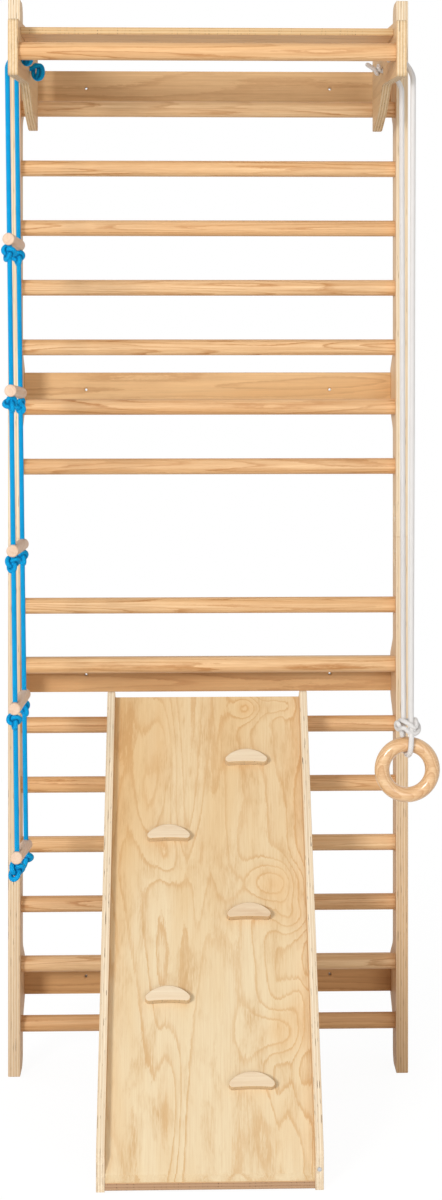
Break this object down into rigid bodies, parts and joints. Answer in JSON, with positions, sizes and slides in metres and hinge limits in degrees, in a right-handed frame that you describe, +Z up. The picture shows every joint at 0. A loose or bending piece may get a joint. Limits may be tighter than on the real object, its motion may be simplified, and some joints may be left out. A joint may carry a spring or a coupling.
{
  "type": "indoor climbing frame",
  "caption": "Wooden wall bars with a hook-on canopy and pull-up bar, a climbing ramp with holds, a rope ladder and a gym ring on a rope.",
  "frame": {"origin": "on the floor, midway between the posts' outer left face and the ring's right edge, and midway between the ramp's toe and the posts' wall side", "axes": "+X to the right as one faces the frame, +Y towards the wall behind it, +Z up"},
  "size_m": [0.8274, 0.689, 2.15],
  "materials": {
    "post_plywood": "clear satin varnish on layered plywood edges",
    "round_pine": "clear satin varnish on turned pine",
    "board_plywood": "clear satin varnish",
    "canopy_plywood": "clear satin varnish",
    "rail_plywood": "clear satin varnish",
    "face_plywood": "clear satin varnish, cathedral grain",
    "hold_plywood": "clear satin varnish",
    "dowel_beech": "bare",
    "ladder_pine": "clear satin varnish",
    "ring_beech": "clear gloss varnish",
    "blue_rope": "braided",
    "white_rope": "braided",
    "zinc_steel": "zinc plated"
  },
  "bodies": {
    "frame": {"left_post_lower": "post_plywood", "left_post_upper": "post_plywood", "right_post_lower": "post_plywood", "right_post_upper": "post_plywood", "rung_01": "round_pine", "rung_02": "round_pine", "rung_03": "round_pine", "rung_04": "round_pine", "rung_05": "round_pine", "rung_06": "round_pine", "rung_07": "round_pine", "rung_08": "round_pine", "rung_09": "round_pine", "rung_10": "round_pine", "rung_11": "round_pine", "rung_12": "round_pine", "rung_13": "round_pine", "rung_14": "round_pine", "rung_15": "round_pine", "rung_16": "round_pine", "wall_board_1": "board_plywood", "wall_board_2": "board_plywood", "wall_board_3": "board_plywood", "wall_board_4": "board_plywood", "post_joint_rods": "zinc_steel", "post_joint_nuts": "zinc_steel", "post_joint_dowels": "dowel_beech", "board_bolts": "zinc_steel", "board_barrels": "zinc_steel", "left_canopy_panel": "canopy_plywood", "right_canopy_panel": "canopy_plywood", "canopy_shelf": "canopy_plywood", "pull_up_bar": "round_pine", "canopy_screws": "zinc_steel", "ladder_end_knots": "blue_rope", "ring_end_knots": "white_rope"},
    "ramp": {"left_ramp_rail": "rail_plywood", "right_ramp_rail": "rail_plywood", "ramp_face": "face_plywood", "ramp_head_batten": "rail_plywood", "ramp_foot_rail": "rail_plywood", "climbing_hold_1": "hold_plywood", "climbing_hold_2": "hold_plywood", "climbing_hold_3": "hold_plywood", "climbing_hold_4": "hold_plywood", "climbing_hold_5": "hold_plywood", "ramp_screws": "zinc_steel"},
    "rope_ladder": {"ladder_rope_front": "blue_rope", "ladder_rope_back": "blue_rope", "ladder_knots_front": "blue_rope", "ladder_knots_back": "blue_rope", "ladder_rung_1": "ladder_pine", "ladder_rung_2": "ladder_pine", "ladder_rung_3": "ladder_pine", "ladder_rung_4": "ladder_pine", "ladder_rung_5": "ladder_pine"},
    "ring_line": {"ring_rope": "white_rope", "ring_knot": "white_rope"},
    "ring": {"gym_ring": "ring_beech"}
  },
  "joints": [
    {"name": "ramp_lift", "type": "hinge", "parent": "frame", "child": "ramp", "pos_m": [-0.01675, 0.2525, 0.695], "axis": [-1, 0, 0], "range_deg": [0, 30]},
    {"name": "ladder_swing", "type": "hinge", "parent": "frame", "child": "rope_ladder", "pos_m": [-0.36875, -0.086, 1.985], "axis": [0, 1, 0], "range_deg": [0, 25]},
    {"name": "ring_swing", "type": "hinge", "parent": "frame", "child": "ring_line", "pos_m": [0.32925, -0.086, 1.985], "axis": [0, -1, 0], "range_deg": [0, 25]},
    {"name": "ring_turn", "type": "hinge", "parent": "ring_line", "child": "ring", "pos_m": [0.35275, -0.086, 0.674], "axis": [0, 1, 0], "continuous": true}
  ]
}
